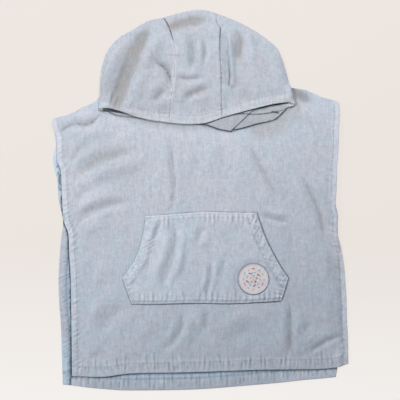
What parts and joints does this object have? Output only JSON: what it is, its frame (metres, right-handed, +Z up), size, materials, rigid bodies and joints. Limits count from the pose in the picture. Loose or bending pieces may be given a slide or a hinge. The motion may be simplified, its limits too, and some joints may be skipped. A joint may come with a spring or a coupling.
{
  "type": "hooded bath poncho",
  "caption": "Child's hooded towelling bath poncho laid flat, front up: hemmed panels joined at shoulders and side tacks, pieced hood folded forward, kangaroo pocket and a round badge",
  "frame": {"origin": "middle of the box round the laid-out garment, on the surface that it lies on", "axes": "+Z up, away from the surface; +Y from the bottom hems towards the crown of the hood; +X to the right as the front is looked at from above, which is the wearer's left"},
  "size_m": [0.641, 0.823, 0.013],
  "materials": {
    "terry_inner_face": "looped towelling inner face, matt",
    "terry_pale_blue": "sheared towelling outer face, matt",
    "terry_hood_blue": "sheared towelling outer face, matt",
    "terry_pocket_blue": "sheared towelling outer face, matt",
    "badge_cotton": "smooth woven cotton, matt"
  },
  "bodies": {
    "root": {"back_panel": "terry_inner_face", "front_panel": "terry_pale_blue", "hood_left": "terry_hood_blue", "hood_centre": "terry_hood_blue", "hood_right": "terry_hood_blue", "kangaroo_pocket": "terry_pocket_blue", "badge": "badge_cotton"}
  },
  "joints": []
}
